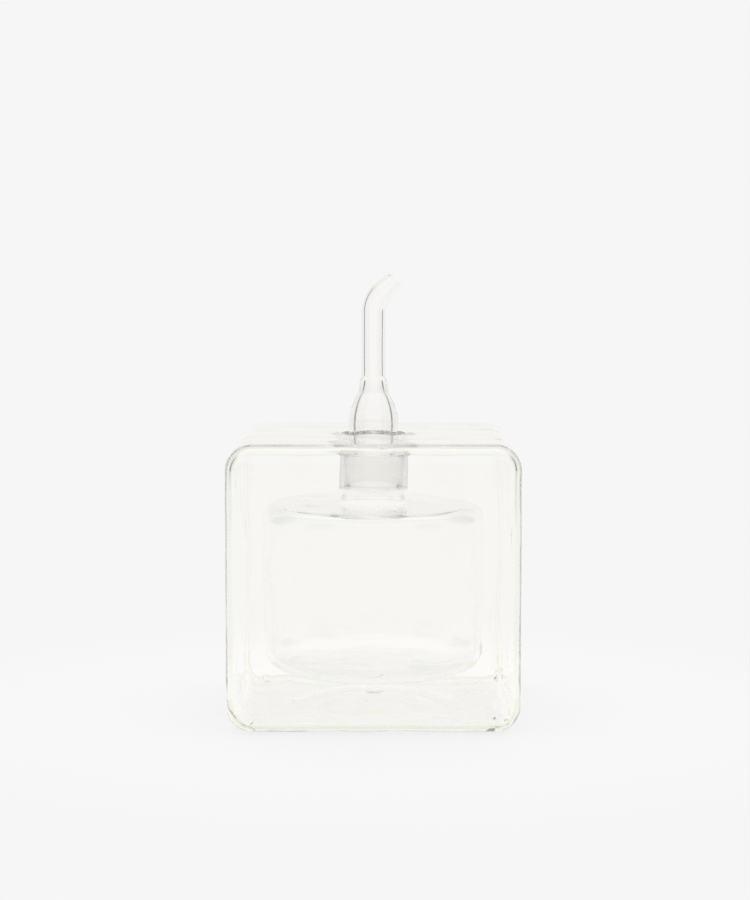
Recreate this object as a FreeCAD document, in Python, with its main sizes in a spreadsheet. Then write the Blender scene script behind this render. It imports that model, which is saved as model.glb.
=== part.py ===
import FreeCAD, Part
import math
import os

import Sketcher

# A table oil bottle of clear blown glass. A round reservoir hangs from its neck inside a rounded square
# jacket, and a hollow pourer stands in the neck on a ground taper. All sizes are in millimetres.
# The origin is on the table under the middle of the bottle, +Z is up, and the spout leans towards +X.

SIZES = {
    # Square jacket, open below, and the dished base that closes it
    "jacket_width": 100,
    "jacket_height": 98,
    "jacket_edge_radius": 9,
    "jacket_wall": 2.2,
    "base_rim_height": 3,
    # Flat band that stands on the table, between the rounded edge and the push-up
    "contact_band": 11,
    "push_up_rise": 4.5,
    "push_up_blend": 6,
    # Vent of the sealed space between the walls, and the bead melted into it
    "vent_radius": 3,
    "vent_bead_crown": 0.6,
    # Round reservoir
    "vessel_side_gap": 9,
    "vessel_floor_gap": 7.8,
    "vessel_wall": 1.8,
    "vessel_bottom_radius": 8,
    "vessel_shoulder_radius": 5,
    "vessel_shoulder_rise": 1,
    "neck_stub_height": 4.5,
    "neck_stub_flare": 3,
    # Ground socket in the neck: large end of the taper, and how much its diameter loses per millimetre
    "ground_diameter": 21.5,
    "ground_taper": 0.1,
    "ground_length": 16.5,
    "ground_clearance": 0.05,
    "socket_wall": 1.25,
    "socket_foot": 1,
    "mouth_depth": 2,
    "mouth_flare": 0.85,
    "mouth_lip_radius": 0.6,
    "ring_seal_radius": 17.5,
    "ring_seal_fillet": 3,
    # Pourer: ground plug, blown bulb and spout tube
    "plug_wall": 1.8,
    "plug_shoulder": 1,
    "plug_throat": 2,
    "bulb_foot_radius": 8.4,
    "bulb_foot_wall": 2.3,
    "bulb_length": 15,
    "bulb_bow": 19.75,
    "bulb_bore_bow": 25.4,
    "bulb_top_radius": 5.3,
    "bulb_top_wall": 1.4,
    "bulb_cone_length": 6,
    "tube_radius": 4.25,
    "tube_wall": 1.22,
    "tube_straight": 22.4,
    "bend_radius": 9.6,
    "bend_degrees": 46,
    "tip_length": 6.5,
    "tip_radius": 3.25,
    "tip_wall": 0.95,
    "tip_lip_radius": 0.35,
}

# Heights and radii that several pieces share, worked out from the sizes above
SEAM_Z = "(Sizes.jacket_edge_radius + Sizes.base_rim_height)"
TOP_Z = "Sizes.jacket_height"
UNDER_TOP_Z = "(Sizes.jacket_height - Sizes.jacket_wall)"
PUSH_UP_R = "(Sizes.jacket_width / 2 - Sizes.jacket_edge_radius - Sizes.contact_band)"
PUSH_UP_BOW = f"(({PUSH_UP_R} ^ 2 + Sizes.push_up_rise ^ 2) / (2 * Sizes.push_up_rise))"
VENT_Z = f"(Sizes.push_up_rise - {PUSH_UP_BOW} + sqrt({PUSH_UP_BOW} ^ 2 - Sizes.vent_radius ^ 2))"
VENT_TOP_Z = f"({VENT_Z} + Sizes.jacket_wall)"
VENT_BEAD_BOW = "((Sizes.vent_radius ^ 2 + Sizes.vent_bead_crown ^ 2) / (2 * Sizes.vent_bead_crown))"

GROUND_TOP_Z = "(Sizes.jacket_height - Sizes.mouth_depth)"
GROUND_FOOT_Z = f"({GROUND_TOP_Z} - Sizes.ground_length)"
GROUND_TOP_R = "(Sizes.ground_diameter / 2)"
GROUND_FOOT_R = f"({GROUND_TOP_R} - Sizes.ground_length * Sizes.ground_taper / 2)"
NECK_R = f"({GROUND_TOP_R} + Sizes.socket_wall)"
NECK_BORE_R = f"({NECK_R} - Sizes.vessel_wall)"
NECK_SEAM_Z = f"({GROUND_FOOT_Z} - Sizes.socket_foot)"

VESSEL_R = "(Sizes.jacket_width / 2 - Sizes.jacket_wall - Sizes.vessel_side_gap)"
VESSEL_FLOOR_Z = "(Sizes.jacket_wall + Sizes.push_up_rise + Sizes.vessel_floor_gap)"
CROWN_Z = f"({NECK_SEAM_Z} - Sizes.neck_stub_height)"
SHOULDER_Z = f"({CROWN_Z} - Sizes.vessel_shoulder_rise)"

PLUG_TOP_R = f"({GROUND_TOP_R} - Sizes.ground_clearance)"
PLUG_FOOT_R = f"({GROUND_FOOT_R} - Sizes.ground_clearance)"
BULB_FOOT_Z = f"({GROUND_TOP_Z} + Sizes.plug_shoulder)"
BULB_FOOT_BORE = "(Sizes.bulb_foot_radius - Sizes.bulb_foot_wall)"
BULB_TOP_Z = f"({BULB_FOOT_Z} + Sizes.bulb_length)"
BULB_TOP_BORE = "(Sizes.bulb_top_radius - Sizes.bulb_top_wall)"
TUBE_FOOT_Z = f"({BULB_TOP_Z} + Sizes.bulb_cone_length)"
TUBE_BORE = "(Sizes.tube_radius - Sizes.tube_wall)"
BEND_Z = f"({TUBE_FOOT_Z} + Sizes.tube_straight)"
BEND_SIN = "sin(Sizes.bend_degrees * 1 deg)"
BEND_COS = "cos(Sizes.bend_degrees * 1 deg)"
TIP_BORE = "(Sizes.tip_radius - Sizes.tip_wall)"

ON_PLACE = 1e-3

doc = FreeCAD.newDocument("oil_bottle")
sheet = doc.addObject("Spreadsheet::Sheet", "Sizes")


def fill_sheet():
    """Writes each driving size into its own named cell."""
    for row, (alias, size) in enumerate(SIZES.items(), start=1):
        sheet.set(f"A{row}", alias)
        sheet.set(f"B{row}", str(size))
        sheet.setAlias(f"B{row}", alias)
    doc.recompute()


def value(expression):
    """The present number of an expression in the sheet's sizes."""
    result = sheet.evalExpression(expression)
    return float(getattr(result, "Value", result))


def new_body(label):
    """An empty body; its label names the piece and its file."""
    body = doc.addObject("PartDesign::Body", label)
    body.Label = label
    body.Placement = FreeCAD.Placement()
    return body


def new_sketch(body, name, plane, height=None):
    """A sketch on one of the body's own origin planes, raised along Z where a height is given."""
    sketch = body.newObject("Sketcher::SketchObject", name)
    support = next(o for o in body.Origin.OriginFeatures if o.Role == plane)
    sketch.AttachmentSupport = [(support, "")]
    sketch.MapMode = "FlatFace"
    if height is not None:
        sketch.setExpression("AttachmentOffset.Base.z", height)
    return sketch


def bind(sketch, constraint, expression):
    """Adds a constraint whose size follows an expression."""
    index = sketch.addConstraint(constraint)
    sketch.setExpression(f"Constraints[{index}]", expression)


def place_point(sketch, geometry, end, corner):
    """Fixes one end of an edge at a corner, given as two expressions."""
    across, up = corner
    if across == "0":
        sketch.addConstraint(Sketcher.Constraint("PointOnObject", geometry, end, -2))
    else:
        bind(sketch, Sketcher.Constraint("DistanceX", -1, 1, geometry, end, value(across)), across)
    if up == "0":
        sketch.addConstraint(Sketcher.Constraint("PointOnObject", geometry, end, -1))
    else:
        bind(sketch, Sketcher.Constraint("DistanceY", -1, 1, geometry, end, value(up)), up)


def bowed_edge(start, stop, radius, side):
    """The lesser arc from start to stop with its centre on the left (side 1) or right (side -1)."""
    chord = stop - start
    middle = (start + stop) * 0.5
    sideways = FreeCAD.Vector(-chord.y, chord.x, 0).normalize() * side
    centre = middle + sideways * math.sqrt(radius ** 2 - (chord.Length / 2) ** 2)
    first, last = (start, stop) if side == 1 else (stop, start)
    angles = [math.atan2(p.y - centre.y, p.x - centre.x) for p in (first, last)]
    return Part.ArcOfCircle(Part.Circle(centre, FreeCAD.Vector(0, 0, 1), radius), *angles)


def draw(sketch, corners, bows=None, closed=True):
    """Draws the outline through the corners; bows maps an edge's number to its arc radius and side."""
    bows = bows or {}
    points = [FreeCAD.Vector(value(across), value(up), 0) for across, up in corners]
    count = len(corners) if closed else len(corners) - 1
    ends = []
    for i in range(count):
        start = points[i]
        stop = points[(i + 1) % len(points)]
        if i in bows:
            radius, side = bows[i]
            geometry = sketch.addGeometry(bowed_edge(start, stop, value(radius), side), False)
            ends.append((geometry, (1, 2) if side == 1 else (2, 1)))
        else:
            geometry = sketch.addGeometry(Part.LineSegment(start, stop), False)
            ends.append((geometry, (1, 2)))
    for i, (geometry, (first, last)) in enumerate(ends):
        place_point(sketch, geometry, first, corners[i])
        if i + 1 < count or closed:
            following, (next_first, _) = ends[(i + 1) % count]
            sketch.addConstraint(Sketcher.Constraint("Coincident", geometry, last, following, next_first))
        else:
            place_point(sketch, geometry, last, corners[i + 1])
        if i in bows:
            radius = bows[i][0]
            bind(sketch, Sketcher.Constraint("Radius", geometry, value(radius)), radius)
    return sketch


def draw_square(sketch, width):
    """A square about the origin."""
    half = value(width) / 2
    corners = [(-half, -half), (half, -half), (half, half), (-half, half)]
    points = [FreeCAD.Vector(x, y, 0) for x, y in corners]
    for i in range(4):
        sketch.addGeometry(Part.LineSegment(points[i], points[(i + 1) % 4]), False)
    for i in range(4):
        sketch.addConstraint(Sketcher.Constraint("Coincident", i, 2, (i + 1) % 4, 1))
        sketch.addConstraint(Sketcher.Constraint("Horizontal" if i % 2 == 0 else "Vertical", i))
    sketch.addConstraint(Sketcher.Constraint("Symmetric", 0, 1, 2, 1, -1, 1))
    bind(sketch, Sketcher.Constraint("DistanceX", 0, 1, 0, 2, 2 * half), width)
    bind(sketch, Sketcher.Constraint("DistanceY", 1, 1, 1, 2, 2 * half), width)
    return sketch


def draw_circle(sketch, radius):
    """A circle about the origin."""
    centre = FreeCAD.Vector(0, 0, 0)
    sketch.addGeometry(Part.Circle(centre, FreeCAD.Vector(0, 0, 1), value(radius)), False)
    sketch.addConstraint(Sketcher.Constraint("Coincident", 0, 3, -1, 1))
    bind(sketch, Sketcher.Constraint("Radius", 0, value(radius)), radius)
    return sketch


def turn(body, name, sketch, axis="V_Axis"):
    """Turns a profile full circle about an axis of its own sketch."""
    feature = body.newObject("PartDesign::Revolution", name)
    feature.Profile = sketch
    feature.ReferenceAxis = (sketch, [axis])
    feature.Angle = 360
    doc.recompute()
    return feature


def pad(body, name, sketch, length):
    """Raises a sketch into a block."""
    feature = body.newObject("PartDesign::Pad", name)
    feature.Profile = sketch
    feature.setExpression("Length", length)
    doc.recompute()
    return feature


def cut_down(body, name, sketch):
    """Cuts a sketch downwards right through the piece, and checks that glass was taken away."""
    before = body.Shape.Volume
    feature = body.newObject("PartDesign::Pocket", name)
    feature.Profile = sketch
    feature.Type = "ThroughAll"
    doc.recompute()
    if feature.Shape.Volume >= before:
        raise RuntimeError(f"{name} cuts nothing")
    return feature


def round_edges(body, name, base, wanted, radius):
    """Rounds the edges of the base feature that the wanted test picks."""
    names = [f"Edge{i}" for i, edge in enumerate(base.Shape.Edges, start=1) if wanted(edge)]
    feature = body.newObject("PartDesign::Fillet", name)
    feature.Base = (base, names)
    feature.setExpression("Radius", radius)
    doc.recompute()
    return feature


def hollow(body, name, base, open_face, wall):
    """Leaves a wall inside the block's own surface, open at one face."""
    solid_volume = base.Shape.Volume
    names = [f"Face{i}" for i, face in enumerate(base.Shape.Faces, start=1) if open_face(face)]
    feature = body.newObject("PartDesign::Thickness", name)
    feature.Base = (base, names)
    feature.Reversed = True
    feature.Join = "Intersection"
    feature.setExpression("Value", wall)
    doc.recompute()
    if feature.Shape.Volume >= solid_volume:
        raise RuntimeError(f"{name} grew outwards")
    return feature


def flat_at(height):
    """Picks the flat faces at one height."""
    return lambda face: (
        face.BoundBox.ZLength < ON_PLACE and abs(face.BoundBox.ZMin - value(height)) < ON_PLACE
    )


def is_round(edge):
    """True for an edge that lies on a circle; the pole of a ball has an edge with no curve."""
    return not edge.Degenerated and isinstance(edge.Curve, Part.Circle)


def ring_at(radius, height):
    """Picks the circular edges about the Z axis of one radius and height."""
    def wanted(edge):
        box = edge.BoundBox
        return (
            is_round(edge)
            and abs(edge.Curve.Radius - value(radius)) < ON_PLACE
            and box.ZLength < ON_PLACE
            and abs(box.ZMin - value(height)) < ON_PLACE
        )
    return wanted


def all_but_at(height):
    """Picks every edge of a block apart from those lying at one height."""
    def wanted(edge):
        box = edge.BoundBox
        return not (box.ZLength < ON_PLACE and abs(box.ZMin - value(height)) < ON_PLACE)
    return wanted


def make_outer_jacket():
    """Square jacket with rounded edges, open below, with a round hole on top for the neck."""
    body = new_body("outer_jacket")
    square = draw_square(new_sketch(body, "jacket_plan", "XY_Plane", SEAM_Z), "Sizes.jacket_width")
    block = pad(body, "jacket_block", square, f"{TOP_Z} - {SEAM_Z}")
    rounded = round_edges(body, "jacket_edges", block, all_but_at(SEAM_Z), "Sizes.jacket_edge_radius")
    hollow(body, "jacket_walls", rounded, flat_at(SEAM_Z), "Sizes.jacket_wall")
    hole = draw_circle(new_sketch(body, "neck_hole_plan", "XY_Plane", TOP_Z), "Sizes.ring_seal_radius")
    cut_down(body, "neck_hole", hole)
    return body


def make_jacket_base():
    """Dished base: rounded rim, flat contact band and a push-up with a vent in its middle."""
    body = new_body("jacket_base")
    square = draw_square(new_sketch(body, "base_plan", "XY_Plane"), "Sizes.jacket_width")
    block = pad(body, "base_block", square, SEAM_Z)
    rounded = round_edges(body, "base_edges", block, all_but_at(SEAM_Z), "Sizes.jacket_edge_radius")
    hollow(body, "base_walls", rounded, flat_at(SEAM_Z), "Sizes.jacket_wall")
    opening = draw_circle(new_sketch(body, "push_up_plan", "XY_Plane", SEAM_Z), PUSH_UP_R)
    cut_down(body, "push_up_opening", opening)
    corners = [
        (PUSH_UP_R, "0"),
        (PUSH_UP_R, "Sizes.jacket_wall"),
        ("Sizes.vent_radius", VENT_TOP_Z),
        ("Sizes.vent_radius", VENT_Z),
    ]
    bows = {1: (PUSH_UP_BOW, 1), 3: (PUSH_UP_BOW, -1)}
    dome = draw(new_sketch(body, "push_up_profile", "XZ_Plane"), corners, bows)
    push_up = turn(body, "push_up", dome)

    def rim(edge):
        return ring_at(PUSH_UP_R, "0")(edge) or ring_at(PUSH_UP_R, "Sizes.jacket_wall")(edge)

    round_edges(body, "push_up_rim", push_up, rim, "Sizes.push_up_blend")
    return body


def make_base_vent_seal():
    """Bead of glass melted into the vent, crowned above and below."""
    body = new_body("base_vent_seal")
    corners = [
        ("0", f"{VENT_Z} - Sizes.vent_bead_crown"),
        ("Sizes.vent_radius", VENT_Z),
        ("Sizes.vent_radius", VENT_TOP_Z),
        ("0", f"{VENT_TOP_Z} + Sizes.vent_bead_crown"),
    ]
    bows = {0: (VENT_BEAD_BOW, 1), 2: (VENT_BEAD_BOW, 1)}
    bead = draw(new_sketch(body, "bead_profile", "XZ_Plane"), corners, bows)
    turn(body, "bead", bead)
    return body


def make_inner_vessel():
    """Round reservoir with rounded corners and a short neck stub drawn up from its shoulder."""
    body = new_body("inner_vessel")
    corners = [
        ("0", VESSEL_FLOOR_Z),
        (VESSEL_R, VESSEL_FLOOR_Z),
        (VESSEL_R, SHOULDER_Z),
        (NECK_R, CROWN_Z),
        (NECK_R, NECK_SEAM_Z),
        ("0", NECK_SEAM_Z),
    ]
    outside = draw(new_sketch(body, "vessel_profile", "XZ_Plane"), corners)
    shape = turn(body, "vessel_form", outside)
    shape = round_edges(
        body, "vessel_bottom", shape, ring_at(VESSEL_R, VESSEL_FLOOR_Z), "Sizes.vessel_bottom_radius"
    )
    shape = round_edges(
        body, "vessel_shoulder", shape, ring_at(VESSEL_R, SHOULDER_Z), "Sizes.vessel_shoulder_radius"
    )
    shape = round_edges(
        body, "neck_flare", shape, ring_at(NECK_R, CROWN_Z), "Sizes.neck_stub_flare"
    )
    hollow(body, "vessel_walls", shape, flat_at(NECK_SEAM_Z), "Sizes.vessel_wall")
    return body


def make_neck_socket():
    """Ground socket: a tapered bore in a tube whose top spreads into the ring seal of the jacket."""
    body = new_body("neck_socket")
    mouth_r = f"({GROUND_TOP_R} + Sizes.mouth_flare)"
    corners = [
        (NECK_BORE_R, NECK_SEAM_Z),
        (NECK_R, NECK_SEAM_Z),
        (NECK_R, UNDER_TOP_Z),
        ("Sizes.ring_seal_radius", UNDER_TOP_Z),
        ("Sizes.ring_seal_radius", TOP_Z),
        (mouth_r, TOP_Z),
        (GROUND_TOP_R, GROUND_TOP_Z),
        (GROUND_FOOT_R, GROUND_FOOT_Z),
    ]
    section = draw(new_sketch(body, "socket_profile", "XZ_Plane"), corners)
    shape = turn(body, "socket", section)
    shape = round_edges(body, "ring_seal", shape, ring_at(NECK_R, UNDER_TOP_Z), "Sizes.ring_seal_fillet")
    round_edges(body, "mouth_lip", shape, ring_at(mouth_r, TOP_Z), "Sizes.mouth_lip_radius")
    return body


def make_ground_plug():
    """Hollow tapered plug that drops into the ground socket with a small clearance."""
    body = new_body("ground_plug")
    corners = [
        (PLUG_FOOT_R, GROUND_FOOT_Z),
        (PLUG_TOP_R, GROUND_TOP_Z),
        ("Sizes.bulb_foot_radius", BULB_FOOT_Z),
        (BULB_FOOT_BORE, BULB_FOOT_Z),
        (f"{PLUG_TOP_R} - Sizes.plug_wall", f"{GROUND_TOP_Z} - Sizes.plug_throat"),
        (f"{PLUG_FOOT_R} - Sizes.plug_wall", GROUND_FOOT_Z),
    ]
    section = draw(new_sketch(body, "plug_profile", "XZ_Plane"), corners)
    turn(body, "plug", section)
    return body


def make_pourer_bulb():
    """Blown bulb on the plug, drawn in above to a short cone that meets the tube."""
    body = new_body("pourer_bulb")
    corners = [
        (BULB_FOOT_BORE, BULB_FOOT_Z),
        ("Sizes.bulb_foot_radius", BULB_FOOT_Z),
        ("Sizes.bulb_top_radius", BULB_TOP_Z),
        ("Sizes.tube_radius", TUBE_FOOT_Z),
        (TUBE_BORE, TUBE_FOOT_Z),
        (BULB_TOP_BORE, BULB_TOP_Z),
    ]
    bows = {1: ("Sizes.bulb_bow", 1), 5: ("Sizes.bulb_bore_bow", -1)}
    section = draw(new_sketch(body, "bulb_profile", "XZ_Plane"), corners, bows)
    turn(body, "bulb", section)
    return body


def make_spout_tube():
    """Straight tube with one bend, ending in a tapered tip with a fire-polished lip."""
    body = new_body("spout_tube")
    bend_end = (f"Sizes.bend_radius * (1 - {BEND_COS})", f"{BEND_Z} + Sizes.bend_radius * {BEND_SIN}")
    tip_end = (
        f"{bend_end[0]} + Sizes.tip_length * {BEND_SIN}",
        f"{bend_end[1]} + Sizes.tip_length * {BEND_COS}",
    )

    ring = new_sketch(body, "tube_ring", "XY_Plane", TUBE_FOOT_Z)
    draw_circle(ring, "Sizes.tube_radius")
    ring.addGeometry(Part.Circle(FreeCAD.Vector(0, 0, 0), FreeCAD.Vector(0, 0, 1), value(TUBE_BORE)), False)
    ring.addConstraint(Sketcher.Constraint("Coincident", 1, 3, -1, 1))
    bind(ring, Sketcher.Constraint("Radius", 1, value(TUBE_BORE)), TUBE_BORE)

    path = new_sketch(body, "tube_path", "XZ_Plane")
    draw(path, [("0", TUBE_FOOT_Z), ("0", BEND_Z), bend_end], {1: ("Sizes.bend_radius", -1)}, closed=False)
    doc.recompute()
    tube = body.newObject("PartDesign::AdditivePipe", "tube")
    tube.Profile = ring
    tube.Spine = path
    doc.recompute()

    def beside(centre, radius):
        return (f"{centre[0]} + {radius} * {BEND_COS}", f"{centre[1]} - {radius} * {BEND_SIN}")

    section = new_sketch(body, "tip_profile", "XZ_Plane")
    draw(
        section,
        [
            beside(bend_end, TUBE_BORE),
            beside(bend_end, "Sizes.tube_radius"),
            beside(tip_end, "Sizes.tip_radius"),
            beside(tip_end, TIP_BORE),
        ],
    )
    centre_points = [FreeCAD.Vector(value(across), value(up), 0) for across, up in (bend_end, tip_end)]
    axis = section.addGeometry(Part.LineSegment(*centre_points), True)
    place_point(section, axis, 1, bend_end)
    place_point(section, axis, 2, tip_end)
    tip = turn(body, "tip", section, "Axis0")

    tip_centre = FreeCAD.Vector(value(tip_end[0]), 0, value(tip_end[1]))

    def lip(edge):
        return is_round(edge) and edge.Curve.Center.distanceToPoint(tip_centre) < ON_PLACE

    round_edges(body, "tip_lip", tip, lip, "Sizes.tip_lip_radius")
    return body


def check(bodies):
    """Stops if anything failed to rebuild or any piece isn't one sound solid."""
    for thing in doc.Objects:
        if "Invalid" in thing.State or "Error" in thing.State:
            raise RuntimeError(f"{thing.Label} failed to rebuild: {thing.State}")
    for body in bodies:
        shape = body.Shape
        if shape.isNull() or not shape.isValid() or len(shape.Solids) != 1:
            raise RuntimeError(f"{body.Label} is not one sound solid")


def main():
    fill_sheet()
    bodies = [
        make_outer_jacket(),
        make_jacket_base(),
        make_base_vent_seal(),
        make_inner_vessel(),
        make_neck_socket(),
        make_ground_plug(),
        make_pourer_bulb(),
        make_spout_tube(),
    ]
    doc.recompute()
    check(bodies)
    os.makedirs("parts", exist_ok=True)
    for body in bodies:
        body.Shape.exportStep(f"parts/{body.Label}.step")
        print(body.Label, round(body.Shape.Volume, 2), body.Shape.BoundBox)


main()
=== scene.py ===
import math

import bpy
import numpy as np
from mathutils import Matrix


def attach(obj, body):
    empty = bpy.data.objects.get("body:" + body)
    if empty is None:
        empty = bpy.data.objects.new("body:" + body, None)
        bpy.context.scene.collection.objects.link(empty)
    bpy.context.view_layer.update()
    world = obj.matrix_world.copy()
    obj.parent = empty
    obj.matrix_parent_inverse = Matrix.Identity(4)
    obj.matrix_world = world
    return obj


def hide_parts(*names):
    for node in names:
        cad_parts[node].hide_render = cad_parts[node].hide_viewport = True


# Clear glass oil bottle on a pale floor. Lengths are in millimetres, as in the solids, until a mesh is made.

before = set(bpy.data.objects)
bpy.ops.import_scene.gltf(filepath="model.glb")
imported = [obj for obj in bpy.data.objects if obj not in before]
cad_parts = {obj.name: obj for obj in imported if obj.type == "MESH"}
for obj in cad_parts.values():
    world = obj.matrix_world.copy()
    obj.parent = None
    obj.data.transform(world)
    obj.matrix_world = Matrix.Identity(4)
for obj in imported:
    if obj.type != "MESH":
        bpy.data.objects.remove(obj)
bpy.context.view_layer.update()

MM = 0.001
AROUND = 272  # points round every ring
QUARTER = AROUND // 4
CORNER = 44  # of a quarter's points, those in a square ring's rounded corner
SIDE = QUARTER - CORNER
ROUNDING = np.linspace(0, math.pi / 2, 45)[1:]  # turns along the rounded edges of the jacket and the base
LEAST_CORNER = 0.25  # of a square ring where a rounded edge runs out

# Jacket and base
HALF, EDGE, WALL, TOP, SEAM = 50.0, 9.0, 2.2, 98.0, 12.0
PUSH_UP_R, PUSH_UP_RISE, PUSH_UP_BLEND, PUSH_UP_MARGIN = 30.0, 4.5, 6.0, 5.0
VENT_R, VENT_CROWN = 3.0, 0.6
RING_SEAL_R, RING_SEAL_FILLET, FILLET_SLACK = 17.5, 3.0, 0.05
# Reservoir
VESSEL_R, VESSEL_FLOOR, VESSEL_WALL = 38.8, 14.5, 1.8
VESSEL_BOTTOM, VESSEL_SHOULDER, NECK_FLARE = 8.0, 5.0, 3.0
SHOULDER_Z, CROWN_Z, NECK_SEAM = 73.0, 74.0, 78.5
# Ground joint
NECK_R, NECK_BORE = 12.0, 10.2
GROUND_TOP, GROUND_FOOT = 96.0, 79.5
GROUND_TOP_R, GROUND_FOOT_R, GROUND_GAP = 10.75, 9.925, 0.05
MOUTH_R, MOUTH_LIP = 11.6, 0.6
PLUG_WALL, PLUG_THROAT, THROAT_FILLET = 1.8, 2.0, 2.0
# Pourer
BULB_FOOT, BULB_TOP, TUBE_FOOT, BEND = 97.0, 112.0, 118.0, 140.4
BULB_FOOT_R, BULB_FOOT_BORE, BULB_BOW, BULB_BORE_BOW = 8.4, 6.1, 19.75, 25.4
BULB_TOP_R, BULB_TOP_BORE = 5.3, 3.9
SEAL_STEP, SEAL_STEP_BORE = [(5.15, 115.0), (4.95, 116.6)], [(3.3, 114.2), (2.75, 116.6)]
SEAL_EASE = 0.5
TUBE_R, TUBE_BORE, TIP_R, TIP_BORE, TIP_LIP = 4.25, 3.03, 3.25, 2.3, 0.35
BEND_R, BEND_ANGLE, TIP_LENGTH = 9.6, math.radians(46), 6.5


# Rings and profiles

def circle(radius, height):
    """Ring about the Z axis."""
    turn = (np.arange(AROUND) - SIDE / 2) * 2 * math.pi / AROUND
    return np.stack([radius * np.cos(turn), radius * np.sin(turn), np.full(AROUND, height)], axis=1)


def pole(height):
    """A ring shrunk to one point on the Z axis."""
    return np.array([[0.0, 0.0, height]])


def square(half, corner, height):
    """Rounded square ring about the Z axis, with as many points as a circle."""
    reach = half - corner
    along = -reach + 2 * reach * np.arange(SIDE) / SIDE
    turn = np.arange(CORNER) * math.pi / 2 / CORNER
    x = np.concatenate([np.full(SIDE, half), reach + corner * np.cos(turn)])
    y = np.concatenate([along, reach + corner * np.sin(turn)])
    quarters = [(x, y), (-y, x), (-x, -y), (y, -x)]
    flat = np.concatenate([np.stack(q, axis=1) for q in quarters])
    return np.column_stack([flat, np.full(AROUND, height)])


def between(first, last, count):
    """Rings that change evenly from the first to the last, both included."""
    return [first + (last - first) * s for s in np.linspace(0, 1, count)]


def rounded(corners, step=1.5, turn=math.radians(5)):
    """Points along a path of (radius, height, fillet) corners."""
    path = [np.array(corners[0][:2], float)]
    for before, here, after in zip(corners, corners[1:], corners[2:]):
        p, a, b = (np.array(c[:2], float) for c in (here, before, after))
        u, v = (a - p) / np.linalg.norm(a - p), (b - p) / np.linalg.norm(b - p)
        half = math.acos(max(-1.0, min(1.0, float(u @ v)))) / 2
        if here[2] == 0 or half > math.pi / 2 - 1e-4:
            path.append(p)
            continue
        reach = here[2] / math.tan(half)
        middle = p + (u + v) / np.linalg.norm(u + v) * here[2] / math.sin(half)
        start, stop = p + u * reach - middle, p + v * reach - middle
        sweep = math.pi - 2 * half
        count = max(3, round(sweep / turn))
        for s in np.linspace(0, 1, count + 1):
            spoke = start * math.sin((1 - s) * sweep) + stop * math.sin(s * sweep)
            path.append(middle + spoke / math.sin(sweep))
    path.append(np.array(corners[-1][:2], float))
    points = [path[0]]
    for a, b in zip(path, path[1:]):
        count = max(1, math.ceil(np.linalg.norm(b - a) / step))
        points += [a + (b - a) * s for s in np.linspace(0, 1, count + 1)[1:]]
    return points


def bowed(start, stop, radius, count):
    """Points of the arc between two profile points that bulges away from the axis."""
    start, stop = np.array(start, float), np.array(stop, float)
    chord = stop - start
    length = np.linalg.norm(chord)
    inward = np.array([-chord[1], chord[0]]) / length
    middle = (start + stop) / 2 + inward * math.sqrt(radius ** 2 - length ** 2 / 4)
    a, b = (math.atan2(*(p - middle)[::-1]) for p in (start, stop))
    return [middle + radius * np.array([math.cos(t), math.sin(t)]) for t in np.linspace(a, b, count)]


def eased(points, reach, passes=40, step=0.3):
    """A profile in even steps whose creases are softened over a short reach; its ends stay."""
    points = np.array(points)
    length = np.concatenate([[0], np.cumsum(np.linalg.norm(np.diff(points, axis=0), axis=1))])
    even = np.linspace(0, length[-1], max(8, round(length[-1] / step)))
    fine = np.column_stack([np.interp(even, length, points[:, i]) for i in (0, 1)])
    share = min(0.5, (reach / step) ** 2 / passes)
    for _ in range(passes):
        fine[1:-1] += share * ((fine[:-2] + fine[2:]) / 2 - fine[1:-1])
    return list(fine)


def turned(points):
    """Rings of a profile turned about the Z axis; a point on the axis becomes a pole."""
    return [pole(z) if r < 1e-6 else circle(r, z) for r, z in points]


# Hand-worked unevenness: a slow warp that differs between the two sides of each wall

WAVES = np.array([
    [0.21, 0.05, 0.09, 0.3], [-0.07, 0.24, 0.13, 1.9], [0.11, -0.16, 0.23, 4.1],
    [0.31, 0.19, -0.12, 2.6], [-0.26, 0.12, 0.29, 5.2], [0.05, 0.33, -0.22, 0.9],
])
OUTSIDE, CAVITY, POURER_OUT, POURER_IN = 0.0, 2.3, 4.0, 5.1  # phases of the warp
JACKET_DEPTH, VESSEL_DEPTH, POURER_DEPTH = 0.14, 0.14, 0.05
FADE_OUTWARD, FADE_DOWN, FADE_UP = 4.0, 6.0, 4.0  # lengths over which the warp grows away from the taper
# Lumps: their depth, how far from both middle planes they start, and how fast they grow outward and down
LUMP, LUMP_START, LUMP_FADE, LUMP_RISE = 0.15, 30.0, 10.0, 4.0


def warp(points, depth, phase):
    """Moves points by a smooth field of about the given depth that dies away towards the ground taper."""
    height = points[:, 2]
    reach = np.hypot(points[:, 0], points[:, 1])
    outward = (reach - NECK_R) / FADE_OUTWARD
    down, up = (NECK_SEAM - height) / FADE_DOWN, (height - TOP) / FADE_UP
    depth = depth * np.clip(np.max([outward, down, up], axis=0), 0, 1)
    moved = points.copy()
    for axis in range(3):
        for i, (kx, ky, kz, shift) in enumerate(WAVES):
            angle = points @ np.array([kx, ky, kz]) + shift * (1 + axis) + phase * (i + 1)
            moved[:, axis] += depth / len(WAVES) * np.sin(angle)
    return moved


def waved(rings, depth, phase):
    return [warp(r, depth, phase) for r in rings]


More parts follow.
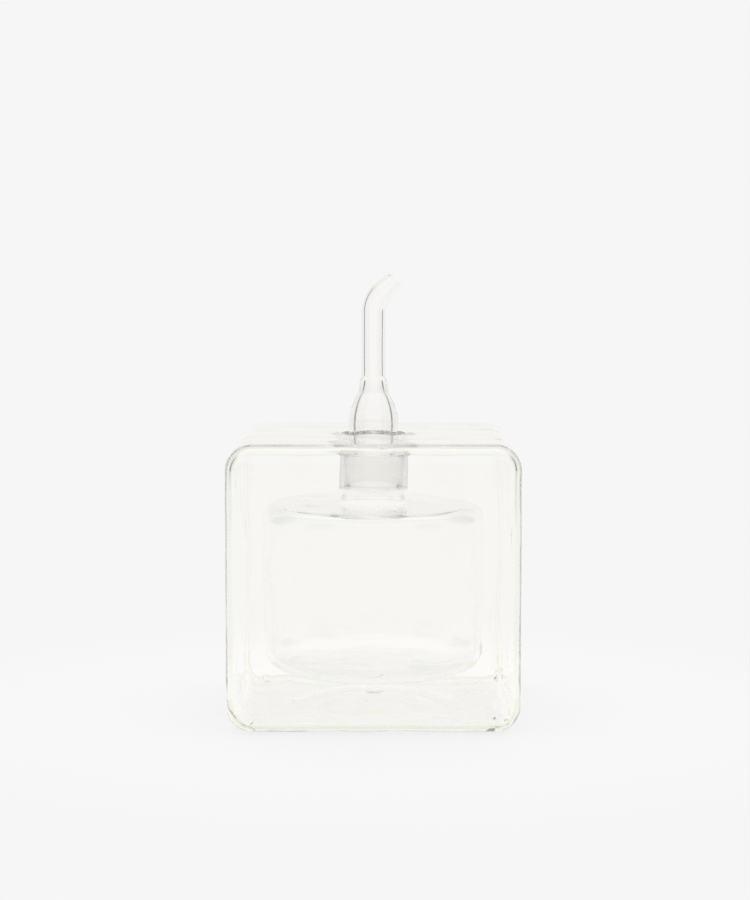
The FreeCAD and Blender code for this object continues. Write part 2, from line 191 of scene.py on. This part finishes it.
def lumps(points):
    """Moves points in and out a little in the four thick lower corners, where the base was melted on."""
    x, y, z = points.T
    inset = np.minimum(np.abs(x), np.abs(y))
    corner = np.clip((inset - LUMP_START) / LUMP_FADE, 0, 1) * np.clip((SEAM - z) / LUMP_RISE, 0, 1)
    swell = np.sin(0.9 * x + 0.5 * z) * np.sin(0.8 * y - 0.7 * z)
    moved = points.copy()
    moved[:, 2] += LUMP * corner * swell
    moved[:, :2] -= np.sign(points[:, :2]) * (LUMP * corner * np.roll(swell, 1))[:, None]
    return moved


# Pieces

CLEAR, WELD, FROST = 0, 1, 2  # places in a piece's list of materials


def same_ring(a, b):
    return a.shape == b.shape and np.allclose(a, b, atol=1e-6)


def make_piece(node, body, surfaces, materials):
    """A closed mesh from surfaces given as (rings, material number), joined in order; where one surface
    doesn't start on the ring that the last one ended on, a weld face closes the gap."""
    rings, strips = [], []
    for surface, number in surfaces:
        start = 0
        if rings and same_ring(rings[-1], surface[0]):
            start = 1
        elif rings:
            strips.append(WELD)
        rings += surface[start:]
        strips += [number] * (len(surface) - 1)
    if same_ring(rings[0], rings[-1]) and len(rings[0]) > 1:
        rings.pop()
    else:
        strips.append(WELD)

    offsets = np.cumsum([0] + [len(r) for r in rings])
    here = np.arange(AROUND)
    after = np.roll(here, -1)
    faces, numbers, seams = [], [], []
    for i, ring in enumerate(rings):
        j = (i + 1) % len(rings)
        a, b = offsets[i], offsets[j]
        if len(ring) == 1 and len(rings[j]) == 1:
            continue
        if len(ring) == 1:
            corners = [np.full(AROUND, a), b + after, b + here]
        elif len(rings[j]) == 1:
            corners = [a + here, a + after, np.full(AROUND, b)]
        else:
            corners = [a + here, a + after, b + after, b + here]
        faces += np.stack(corners, axis=1).tolist()
        numbers += [strips[i]] * AROUND
        if (strips[i] == WELD) != (strips[i - 1] == WELD) and len(ring) > 1:
            seams.append(np.sort(np.stack([a + here, a + after], axis=1), axis=1))
    points = np.concatenate(rings) * MM

    fans = np.array([(f[0], f[m], f[m + 1]) for f in faces for m in range(1, len(f) - 1)])
    volume = np.einsum("ij,ij->", points[fans[:, 0]], np.cross(points[fans[:, 1]], points[fans[:, 2]]))
    if volume < 0:
        faces = [f[::-1] for f in faces]
    mesh = bpy.data.meshes.new(node + "_glass")
    mesh.from_pydata(points.tolist(), [], faces)
    mesh.polygons.foreach_set("use_smooth", np.ones(len(faces), bool))
    mesh.polygons.foreach_set("material_index", np.array(numbers, np.int32))
    ends = np.empty(2 * len(mesh.edges), np.int32)
    mesh.edges.foreach_get("vertices", ends)
    key = np.array([len(points), 1])
    ends = np.sort(ends.reshape(-1, 2).astype(np.int64), axis=1) @ key
    sharp = np.isin(ends, np.concatenate(seams) @ key) if seams else np.zeros(len(ends), bool)
    mesh.attributes.new("sharp_edge", "BOOLEAN", "EDGE").data.foreach_set("value", sharp)
    for material in materials:
        mesh.materials.append(material)
    mesh.validate()
    piece = bpy.data.objects.new(node + "_glass", mesh)
    bpy.context.scene.collection.objects.link(piece)
    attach(piece, body)
    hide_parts(node)


def jacket_skin(half, edge, top):
    """One side of the jacket's wall, from the seam over the top edge to the neck hole."""
    spring = top - edge
    rings = between(square(half, edge, SEAM), square(half, edge, spring), 36)
    for a in ROUNDING:
        inset = edge * (1 - math.cos(a))
        rings.append(square(half - inset, max(edge - inset, LEAST_CORNER), spring + edge * math.sin(a)))
    rings += between(rings[-1], circle(RING_SEAL_R, top), 26)[1:]
    return rings


def push_up(radius):
    """Height of the push-up's dome above the base's floor."""
    bow = (PUSH_UP_R ** 2 + PUSH_UP_RISE ** 2) / (2 * PUSH_UP_RISE)
    return PUSH_UP_RISE - bow + math.sqrt(bow ** 2 - radius * radius)


def base_skin(half, edge, floor):
    """One side of the base, from the seam round the bottom edge and along the contact band, then up
    the push-up to the vent."""
    spring = floor + edge
    rings = between(square(half, edge, SEAM), square(half, edge, spring), 4)
    for a in ROUNDING:
        inset = edge * (1 - math.cos(a))
        rings.append(square(half - inset, max(edge - inset, LEAST_CORNER), spring - edge * math.sin(a)))
    band = PUSH_UP_R + PUSH_UP_MARGIN
    dome = [(r, floor + push_up(r)) for r in np.linspace(PUSH_UP_R, VENT_R, 60)]
    hollow = eased([(band, floor), (PUSH_UP_R + PUSH_UP_MARGIN / 2, floor)] + dome, PUSH_UP_BLEND / 6)
    hollow = hollow[::3] + ([hollow[-1]] if (len(hollow) - 1) % 3 else [])
    rings += between(rings[-1], circle(band, floor), 12)[1:]
    return rings + turned(hollow)[1:]


def bead_cap(height, crown, side):
    """One crowned face of the vent's bead, from its rim to its middle."""
    bow = (VENT_R ** 2 + crown ** 2) / (2 * crown)
    radii = VENT_R * np.cos(np.linspace(0, math.pi / 2, 14))
    radii[-1] = 0
    return turned([(r, height + side * (crown - bow + math.sqrt(bow ** 2 - r * r))) for r in radii])


def make_jacket(clear, weld):
    skin = waved(jacket_skin(HALF, EDGE, TOP), JACKET_DEPTH, OUTSIDE)
    lining = waved(jacket_skin(HALF - WALL, EDGE - WALL, TOP - WALL), JACKET_DEPTH, CAVITY)
    surfaces = [(skin, CLEAR), (lining[::-1], CLEAR)]
    make_piece("outer_jacket", "bottle", surfaces, [clear, weld])


def make_base(clear, weld):
    skin = waved(base_skin(HALF, EDGE, 0), JACKET_DEPTH, OUTSIDE)
    lining = waved([lumps(r) for r in base_skin(HALF - WALL, EDGE - WALL, WALL)], JACKET_DEPTH, CAVITY)
    surfaces = [(skin, CLEAR), (lining[::-1], CLEAR)]
    make_piece("jacket_base", "bottle", surfaces, [clear, weld])


def make_vent_seal(clear, weld):
    vent = push_up(VENT_R)
    below = waved(bead_cap(vent, VENT_CROWN, -1), JACKET_DEPTH, OUTSIDE)
    above = waved(bead_cap(vent + WALL, VENT_CROWN, 1), JACKET_DEPTH, CAVITY)
    surfaces = [(below[::-1], CLEAR), (above, CLEAR)]
    make_piece("base_vent_seal", "bottle", surfaces, [clear, weld])


def make_vessel(clear, weld):
    slope = np.array([NECK_R - VESSEL_R, CROWN_Z - SHOULDER_Z])
    drop = VESSEL_WALL * np.linalg.norm(slope) / -slope[0]
    rise = slope[1] / -slope[0]
    outer = rounded([
        (0, VESSEL_FLOOR, 0),
        (VESSEL_R, VESSEL_FLOOR, VESSEL_BOTTOM),
        (VESSEL_R, SHOULDER_Z, VESSEL_SHOULDER),
        (NECK_R, CROWN_Z, NECK_FLARE),
        (NECK_R, NECK_SEAM, 0),
    ])
    inner_r = VESSEL_R - VESSEL_WALL
    inner = rounded([
        (0, VESSEL_FLOOR + VESSEL_WALL, 0),
        (inner_r, VESSEL_FLOOR + VESSEL_WALL, VESSEL_BOTTOM - VESSEL_WALL),
        (inner_r, SHOULDER_Z - drop + VESSEL_WALL * rise, VESSEL_SHOULDER - VESSEL_WALL),
        (NECK_BORE, CROWN_Z - drop + VESSEL_WALL * rise, NECK_FLARE + VESSEL_WALL),
        (NECK_BORE, NECK_SEAM, 0),
    ])
    outer = waved(turned(outer), VESSEL_DEPTH, CAVITY)
    inner = waved(turned(inner), VESSEL_DEPTH, OUTSIDE)
    surfaces = [(outer, CLEAR), (inner[::-1], CLEAR)]
    make_piece("inner_vessel", "bottle", surfaces, [clear, weld])


def make_socket(ground, frost, weld):
    sleeve = turned(rounded([(NECK_R, NECK_SEAM, 0), (NECK_R, TOP - WALL - RING_SEAL_FILLET, 0)], 0.8))
    outer = turned(rounded([
        (NECK_R, TOP - WALL - RING_SEAL_FILLET, 0), (NECK_R, TOP - WALL, RING_SEAL_FILLET - FILLET_SLACK),
        (RING_SEAL_R, TOP - WALL, 0),
    ], 0.8))
    mouth = turned(rounded([
        (RING_SEAL_R, TOP, 0), (MOUTH_R, TOP, MOUTH_LIP), (GROUND_TOP_R, GROUND_TOP, 0),
    ], 0.5))
    bore = turned(rounded([(GROUND_TOP_R, GROUND_TOP, 0), (GROUND_FOOT_R, GROUND_FOOT, 0)], 0.8))
    ledge = turned(rounded([(GROUND_FOOT_R, GROUND_FOOT, 0), (NECK_BORE, NECK_SEAM, 0)], 0.25))
    make_piece(
        "neck_socket", "bottle",
        [(waved(sleeve, JACKET_DEPTH, CAVITY), FROST), (waved(outer, JACKET_DEPTH, CAVITY), CLEAR),
         (waved(mouth, JACKET_DEPTH, OUTSIDE), CLEAR), (waved(bore, JACKET_DEPTH, OUTSIDE), FROST),
         (waved(ledge, JACKET_DEPTH, OUTSIDE), CLEAR)],
        [ground, weld, frost],
    )


def tube_rings(radius_at, stations):
    """Rings along the spout's middle line; each station is a length from the tube's foot."""
    straight, bend = BEND - TUBE_FOOT, BEND_R * BEND_ANGLE
    rings = []
    for s in stations:
        turn = min(max(s - straight, 0) / BEND_R, BEND_ANGLE)
        beyond = max(s - straight - bend, 0)
        x = BEND_R * (1 - math.cos(turn)) + beyond * math.sin(turn)
        z = TUBE_FOOT + min(s, straight) + BEND_R * math.sin(turn) + beyond * math.cos(turn)
        ring = circle(radius_at(s), 0)
        rings.append(np.column_stack([
            x + ring[:, 0] * math.cos(turn), ring[:, 1], z - ring[:, 0] * math.sin(turn),
        ]))
    return rings


def pourer_waved(rings, phase):
    return waved(rings, POURER_DEPTH, phase)


def make_plug(ground, frost, weld):
    top_r, foot_r = GROUND_TOP_R - GROUND_GAP, GROUND_FOOT_R - GROUND_GAP
    taper = turned(rounded([(foot_r, GROUND_FOOT, 0), (top_r, GROUND_TOP, 0)], 0.8))
    shoulder = turned(rounded([(top_r, GROUND_TOP, 0), (BULB_FOOT_R, BULB_FOOT, 0)], 0.25))
    throat = turned(rounded([
        (BULB_FOOT_BORE, BULB_FOOT, 0), (top_r - PLUG_WALL, GROUND_TOP - PLUG_THROAT, THROAT_FILLET),
        (foot_r - PLUG_WALL, GROUND_FOOT, 0),
    ], 0.6))
    end = turned(rounded([(foot_r - PLUG_WALL, GROUND_FOOT, 0), (foot_r, GROUND_FOOT, 0)], 0.3))
    make_piece(
        "ground_plug", "pourer",
        [(pourer_waved(taper, POURER_OUT), FROST), (pourer_waved(shoulder, POURER_OUT), CLEAR),
         (pourer_waved(throat, POURER_IN), CLEAR), (pourer_waved(end, POURER_IN), CLEAR)],
        [ground, weld, frost],
    )


def make_bulb(clear, weld):
    outer = bowed((BULB_FOOT_R, BULB_FOOT), (BULB_TOP_R, BULB_TOP), BULB_BOW, 40)
    outer = turned(eased(outer + SEAL_STEP + [(TUBE_R, TUBE_FOOT)], SEAL_EASE))
    inner = bowed((BULB_FOOT_BORE, BULB_FOOT), (BULB_TOP_BORE, BULB_TOP), BULB_BORE_BOW, 40)
    inner = turned(eased(inner + SEAL_STEP_BORE + [(TUBE_BORE, TUBE_FOOT)], SEAL_EASE))
    surfaces = [(pourer_waved(outer, POURER_OUT), CLEAR), (pourer_waved(inner[::-1], POURER_IN), CLEAR)]
    make_piece("pourer_bulb", "pourer", surfaces, [clear, weld])


def make_spout(clear, weld):
    straight, bend = BEND - TUBE_FOOT, BEND_R * BEND_ANGLE
    length = straight + bend + TIP_LENGTH
    runs = np.concatenate([
        np.linspace(0, straight, 16), np.linspace(straight, straight + bend, 24)[1:],
        np.linspace(straight + bend, length - TIP_LIP, 10)[1:],
    ])
    lip = np.linspace(0, math.pi / 2, 7)[1:]

    def taper_from(wide, narrow):
        return lambda s: wide + (narrow - wide) * max(0, s - straight - bend) / TIP_LENGTH

    outside, inside = taper_from(TUBE_R, TIP_R), taper_from(TUBE_BORE, TIP_BORE)
    outer = tube_rings(outside, runs)
    inner = tube_rings(inside, runs)
    for a in lip:
        s = length - TIP_LIP + TIP_LIP * math.sin(a)
        outer += tube_rings(lambda t: outside(t) - TIP_LIP * (1 - math.cos(a)), [s])
        inner += tube_rings(lambda t: inside(t) + TIP_LIP * (1 - math.cos(a)), [s])
    outer, inner = pourer_waved(outer, POURER_OUT), pourer_waved(inner, POURER_IN)
    rim = between(outer[-1], inner[-1], 3)
    surfaces = [(outer, CLEAR), (rim, CLEAR), (inner[::-1], CLEAR)]
    make_piece("spout_tube", "pourer", surfaces, [clear, weld])


# Materials

GLASS_IOR = 1.47


def new_material(name):
    material = bpy.data.materials.new(name)
    material.use_nodes = True
    tree = material.node_tree
    return material, tree, tree.nodes["Principled BSDF"]


def ramp(tree, source, stops):
    """A colour ramp fed by a socket; stops are (position, colour)."""
    node = tree.nodes.new("ShaderNodeValToRGB")
    elements = node.color_ramp.elements
    while len(elements) < len(stops):
        elements.new(0.5)
    for element, (position, colour) in zip(elements, stops):
        element.position = position
        element.color = (*colour, 1)
    tree.links.new(source, node.inputs["Fac"])
    return node.outputs["Color"]


def noise(tree, scale, detail=2.0, stretch=(1, 1, 1)):
    """Noise in the object's own space, stretched along its axes."""
    place = tree.nodes.new("ShaderNodeTexCoord")
    mapping = tree.nodes.new("ShaderNodeMapping")
    mapping.inputs["Scale"].default_value = stretch
    texture = tree.nodes.new("ShaderNodeTexNoise")
    texture.inputs["Scale"].default_value = scale
    texture.inputs["Detail"].default_value = detail
    tree.links.new(place.outputs["Object"], mapping.inputs["Vector"])
    tree.links.new(mapping.outputs["Vector"], texture.inputs["Vector"])
    return texture.outputs["Fac"]


def mixed(tree, factor, first, second):
    """Mix of two colours, each a socket or a plain colour."""
    node = tree.nodes.new("ShaderNodeMix")
    node.data_type = "RGBA"
    inputs = [s for s in node.inputs if s.type == "RGBA"]
    for socket, given in zip(inputs, (first, second)):
        if isinstance(given, tuple):
            socket.default_value = (*given, 1)
        else:
            tree.links.new(given, socket)
    tree.links.new(factor, node.inputs["Factor"])
    return next(s for s in node.outputs if s.type == "RGBA")


def off_flat(tree, edge_tint_and_shade_share):
    """The given share of the edge colour, partly painted shade, kept on rounded edges only: nothing where the
    surface lies square to an axis.
    """
    place = tree.nodes.new("ShaderNodeTexCoord")
    size = tree.nodes.new("ShaderNodeVectorMath")
    size.operation = "ABSOLUTE"
    tree.links.new(place.outputs["Normal"], size.inputs[0])
    split = tree.nodes.new("ShaderNodeSeparateXYZ")
    tree.links.new(size.outputs["Vector"], split.inputs["Vector"])
    largest = split.outputs["X"]
    for axis in "YZ":
        greater = tree.nodes.new("ShaderNodeMath")
        greater.operation = "MAXIMUM"
        tree.links.new(largest, greater.inputs[0])
        tree.links.new(split.outputs[axis], greater.inputs[1])
        largest = greater.outputs["Value"]
    flat = ramp(tree, largest, [(0.93, (0, 0, 0)), (0.99, (1, 1, 1))])
    return mixed(tree, flat, edge_tint_and_shade_share, (0.0, 0.0, 0.0))


# Share of the edge colour by how obliquely the surface is seen, the glass's own tint along its thickness
# together with painted shade for the dark outlines: a band on thick rims, or all grazing walls
RIM_TINT_AND_SHADE = [(0.3, 0), (0.42, 1), (0.54, 1), (0.63, 0)]
GRAZING_TINT_AND_SHADE = [(0.62, 0), (0.86, 1)]


def clear_glass(name, body, edge, edge_tint_and_shade_stops=RIM_TINT_AND_SHADE, rounded_only=False):
    """Fire-polished glass: faint cords of tint, and a darker edge colour where a wall is seen obliquely,
    partly the glass's own tint along its thickness and partly painted shade for the dark outlines.
    """
    material, tree, shader = new_material(name)
    shader.inputs["Transmission Weight"].default_value = 1
    shader.inputs["IOR"].default_value = GLASS_IOR
    cords = ramp(tree, noise(tree, 45, 3, (1, 1, 0.35)), [(0.3, body[0]), (0.7, body[1])])
    facing = tree.nodes.new("ShaderNodeLayerWeight")
    facing.inputs["Blend"].default_value = 0.5
    edge_tint_and_shade_share = ramp(tree, facing.outputs["Facing"], [(at, (level,) * 3) for at, level in edge_tint_and_shade_stops])
    if rounded_only:
        edge_tint_and_shade_share = off_flat(tree, edge_tint_and_shade_share)
    tree.links.new(mixed(tree, edge_tint_and_shade_share, cords, edge), shader.inputs["Base Color"])
    polish = ramp(tree, noise(tree, 160, 2), [(0.45, (0, 0, 0)), (0.8, (0.003, 0.003, 0.003))])
    tree.links.new(polish, shader.inputs["Roughness"])
    return material


def frosted_glass(name):
    """Ground glass: matt, with a fine grain and a little mottling."""
    material, tree, shader = new_material(name)
    shader.inputs["Transmission Weight"].default_value = 1
    shader.inputs["IOR"].default_value = GLASS_IOR
    tint = ramp(tree, noise(tree, 220, 4), [(0.3, (0.985, 0.984, 0.978)), (0.7, (1.0, 0.999, 0.994))])
    tree.links.new(tint, shader.inputs["Base Color"])
    matt = ramp(tree, noise(tree, 700, 4), [(0.3, (0.13, 0.13, 0.13)), (0.7, (0.17, 0.17, 0.17))])
    tree.links.new(matt, shader.inputs["Roughness"])
    bump = tree.nodes.new("ShaderNodeBump")
    bump.inputs["Strength"].default_value = 0.1
    bump.inputs["Distance"].default_value = 0.00008
    tree.links.new(noise(tree, 2600, 3, (0.5, 0.5, 1.6)), bump.inputs["Height"])
    tree.links.new(bump.outputs["Normal"], shader.inputs["Normal"])
    return material


def weld_face():
    """Inside of a melted joint, where one piece of glass runs on into the next and nothing shows."""
    material, tree, shader = new_material("melted_joint")
    through = tree.nodes.new("ShaderNodeBsdfTransparent")
    tree.nodes.remove(shader)
    tree.links.new(through.outputs["BSDF"], tree.nodes["Material Output"].inputs["Surface"])
    return material


# Studio

PAGE = 0.9216  # the photograph's pale ground
TENT = (0.935, 0.926, 0.908)  # the same ground as the glass sees it, slightly warm
NEAR_GLOW, NEAR_GLOW_IN_GLASS = 0.88, 0.93  # share of the near floor's brightness that takes no shadow
OVERHEAD = 1.1  # brightness of the top light against the tent
FLOOR_MATT = 0.16
# In metres: the floor's rings, its drop below the base, where the shadow fades out and where the gap fades in
FLOOR_RADII = [0.05, 0.1, 0.2, 0.4, 0.8, 1.6, 3.2, 8.0]
FLOOR_DROP = 0.0003
SHADOW_FADE = 0.075, 0.2
GAP_FADE = 0.5, 1.5
# Camera fitted to the jacket's outlines in the photograph
CAMERA_PLACE, CAMERA_DIP = (0.00056, -0.90334, 0.18135), 0.0987
SENSOR, LENS = 36, 103.23
LIGHT_BOUNCES = 176  # enough for light that runs round inside the walls to come out again

# Brightness of the tent by the cosine of the heading's angle from the backdrop: a darker gap lies beside
# the backdrop, and a weaker one beside the screen across from it
GAP = [
    (-0.75, 1.0), (-0.68, 0.85), (-0.6, 0.5), (-0.5, 0.45), (-0.32, 0.55), (-0.2, 0.85), (-0.05, 1.0),
    (0.05, 1.0), (0.2, 0.8), (0.32, 0.4), (0.5, 0.25), (0.6, 0.3), (0.68, 0.75), (0.75, 1.0),
]
# and by the sine of the height: the gap closes overhead, and the backdrop fades up to a soft top light
CLOSING = [(0.0, 0.0), (0.5, 0.0), (0.75, 1.0)]
RISE = [(0.0, 1.0), (0.06, 0.99), (0.2, 0.93), (0.4, 0.9), (0.55, 0.95), (0.7, 1.0)]


def tent_light(tree, heading):
    """The tent's colour for a socket that holds a direction along the floor."""
    level = tree.nodes.new("ShaderNodeVectorMath")
    level.operation = "MULTIPLY"
    level.inputs[1].default_value = (1, 1, 0)
    tree.links.new(heading, level.inputs[0])
    unit = tree.nodes.new("ShaderNodeVectorMath")
    unit.operation = "NORMALIZE"
    tree.links.new(level.outputs["Vector"], unit.inputs[0])
    split = tree.nodes.new("ShaderNodeSeparateXYZ")
    tree.links.new(unit.outputs["Vector"], split.inputs["Vector"])
    across = tree.nodes.new("ShaderNodeMapRange")
    across.inputs["From Min"].default_value = -1
    tree.links.new(split.outputs["Y"], across.inputs["Value"])
    stops = [((y + 1) / 2, tuple(level * c for c in TENT)) for y, level in GAP]
    return ramp(tree, across.outputs["Result"], stops)


def light_world():
    """White tent round the bottle with a darker gap between the backdrop and the side screens."""
    world = bpy.data.worlds.new("studio")
    bpy.context.scene.world = world
    world.use_nodes = True
    tree = world.node_tree
    place = tree.nodes.new("ShaderNodeTexCoord")
    split = tree.nodes.new("ShaderNodeSeparateXYZ")
    tree.links.new(place.outputs["Generated"], split.inputs["Vector"])
    closing = ramp(tree, split.outputs["Z"], [(z, (level,) * 3) for z, level in CLOSING])
    rise = ramp(tree, split.outputs["Z"], [(z, (level,) * 3) for z, level in RISE])
    screens = tent_light(tree, place.outputs["Generated"])
    tent = mixed(tree, closing, screens, tuple(OVERHEAD * c for c in TENT))
    fading = tree.nodes.new("ShaderNodeVectorMath")
    fading.operation = "MULTIPLY"
    tree.links.new(tent, fading.inputs[0])
    tree.links.new(rise, fading.inputs[1])
    tent = fading.outputs["Vector"]
    rays = tree.nodes.new("ShaderNodeLightPath")
    seen = mixed(tree, rays.outputs["Is Camera Ray"], tent, (PAGE, PAGE, PAGE))
    tree.links.new(seen, tree.nodes["Background"].inputs["Color"])


def lay_floor():
    """Pale table: matt near the bottle, where it takes the shadow, and even with the ground farther away."""
    rings = [pole(0)] + [circle(r / MM, 0) for r in FLOOR_RADII]
    points = np.concatenate(rings) * MM - np.array([0, 0, FLOOR_DROP])
    faces = [(0, 1 + k, 1 + (k + 1) % AROUND) for k in range(AROUND)]
    for i in range(len(rings) - 2):
        a, b = 1 + i * AROUND, 1 + (i + 1) * AROUND
        faces += [(a + k, b + k, b + (k + 1) % AROUND, a + (k + 1) % AROUND) for k in range(AROUND)]
    mesh = bpy.data.meshes.new("floor")
    mesh.from_pydata(points.tolist(), [], faces)
    floor = bpy.data.objects.new("floor", mesh)
    bpy.context.scene.collection.objects.link(floor)

    material, tree, shader = new_material("floor_paper")
    tree.nodes.remove(shader)
    matt = tree.nodes.new("ShaderNodeBsdfDiffuse")
    matt.inputs["Color"].default_value = (FLOOR_MATT, FLOOR_MATT, FLOOR_MATT, 1)
    glow = tree.nodes.new("ShaderNodeEmission")
    rays = tree.nodes.new("ShaderNodeLightPath")
    camera = rays.outputs["Is Camera Ray"]
    place = tree.nodes.new("ShaderNodeTexCoord")
    reach = tree.nodes.new("ShaderNodeVectorMath")
    reach.operation = "LENGTH"
    tree.links.new(place.outputs["Object"], reach.inputs[0])
    near = mixed(tree, camera, tuple(NEAR_GLOW_IN_GLASS * c for c in TENT), (NEAR_GLOW * PAGE,) * 3)
    beyond = tree.nodes.new("ShaderNodeMapRange")
    beyond.inputs["From Min"].default_value, beyond.inputs["From Max"].default_value = GAP_FADE
    tree.links.new(reach.outputs["Value"], beyond.inputs["Value"])
    screens = mixed(tree, beyond.outputs["Result"], TENT, tent_light(tree, place.outputs["Object"]))
    far = mixed(tree, camera, screens, (PAGE,) * 3)
    away = tree.nodes.new("ShaderNodeMapRange")
    away.interpolation_type = "SMOOTHSTEP"
    away.inputs["From Min"].default_value, away.inputs["From Max"].default_value = SHADOW_FADE
    tree.links.new(reach.outputs["Value"], away.inputs["Value"])
    tree.links.new(mixed(tree, away.outputs["Result"], near, far), glow.inputs["Color"])
    fade = tree.nodes.new("ShaderNodeMixShader")
    dark = tree.nodes.new("ShaderNodeBsdfDiffuse")
    dark.inputs["Color"].default_value = (0, 0, 0, 1)
    tree.links.new(away.outputs["Result"], fade.inputs["Fac"])
    tree.links.new(matt.outputs["BSDF"], fade.inputs[1])
    tree.links.new(dark.outputs["BSDF"], fade.inputs[2])
    both = tree.nodes.new("ShaderNodeAddShader")
    tree.links.new(fade.outputs["Shader"], both.inputs[0])
    tree.links.new(glow.outputs["Emission"], both.inputs[1])
    tree.links.new(both.outputs["Shader"], tree.nodes["Material Output"].inputs["Surface"])
    mesh.materials.append(material)


def set_camera():
    """The photograph's viewpoint: about 0.9 m in front and a little above the bottle."""
    data = bpy.data.cameras.new("camera")
    data.sensor_width = SENSOR
    data.lens = LENS
    data.clip_end = 50
    camera = bpy.data.objects.new("camera", data)
    camera.location = CAMERA_PLACE
    camera.rotation_euler = (math.pi / 2 - CAMERA_DIP, 0, 0)
    bpy.context.scene.collection.objects.link(camera)
    bpy.context.scene.camera = camera


def main():
    set_camera()
    weld = weld_face()
    frost = frosted_glass("frosted_taper")
    cast = (0.995, 0.996, 0.99), (1.0, 1.0, 0.998)
    # Each clear glass's third colour is its edge colour: the glass's own tint along its thickness, with
    # painted shade for the dark outlines on walls seen obliquely.
    jacket = clear_glass("jacket_glass_clear", cast, (0.9, 0.925, 0.8), rounded_only=True)
    foot = clear_glass("jacket_base_clear", cast, (0.8, 0.84, 0.63), rounded_only=True)
    thin = (0.996, 0.996, 0.994), (1.0, 1.0, 1.0)
    vessel = clear_glass("vessel_glass_clear", thin, (0.945, 0.95, 0.93), GRAZING_TINT_AND_SHADE)
    neck = clear_glass("ground_glass_clear", cast, (0.985, 0.987, 0.97))
    drawn = (0.996, 0.996, 0.995), (1.0, 1.0, 1.0)
    spout = clear_glass("pourer_glass_clear", drawn, (0.95, 0.95, 0.94))
    make_jacket(jacket, weld)
    make_base(foot, weld)
    make_vent_seal(foot, weld)
    make_vessel(vessel, weld)
    make_socket(neck, frost, weld)
    make_plug(neck, frost, weld)
    make_bulb(spout, weld)
    make_spout(spout, weld)
    lay_floor()
    light_world()
    scene = bpy.context.scene
    scene.view_settings.view_transform = "Standard"
    scene.cycles.max_bounces = LIGHT_BOUNCES
    scene.cycles.transmission_bounces = LIGHT_BOUNCES
    scene.cycles.glossy_bounces = LIGHT_BOUNCES
    scene.cycles.transparent_max_bounces = LIGHT_BOUNCES


main()
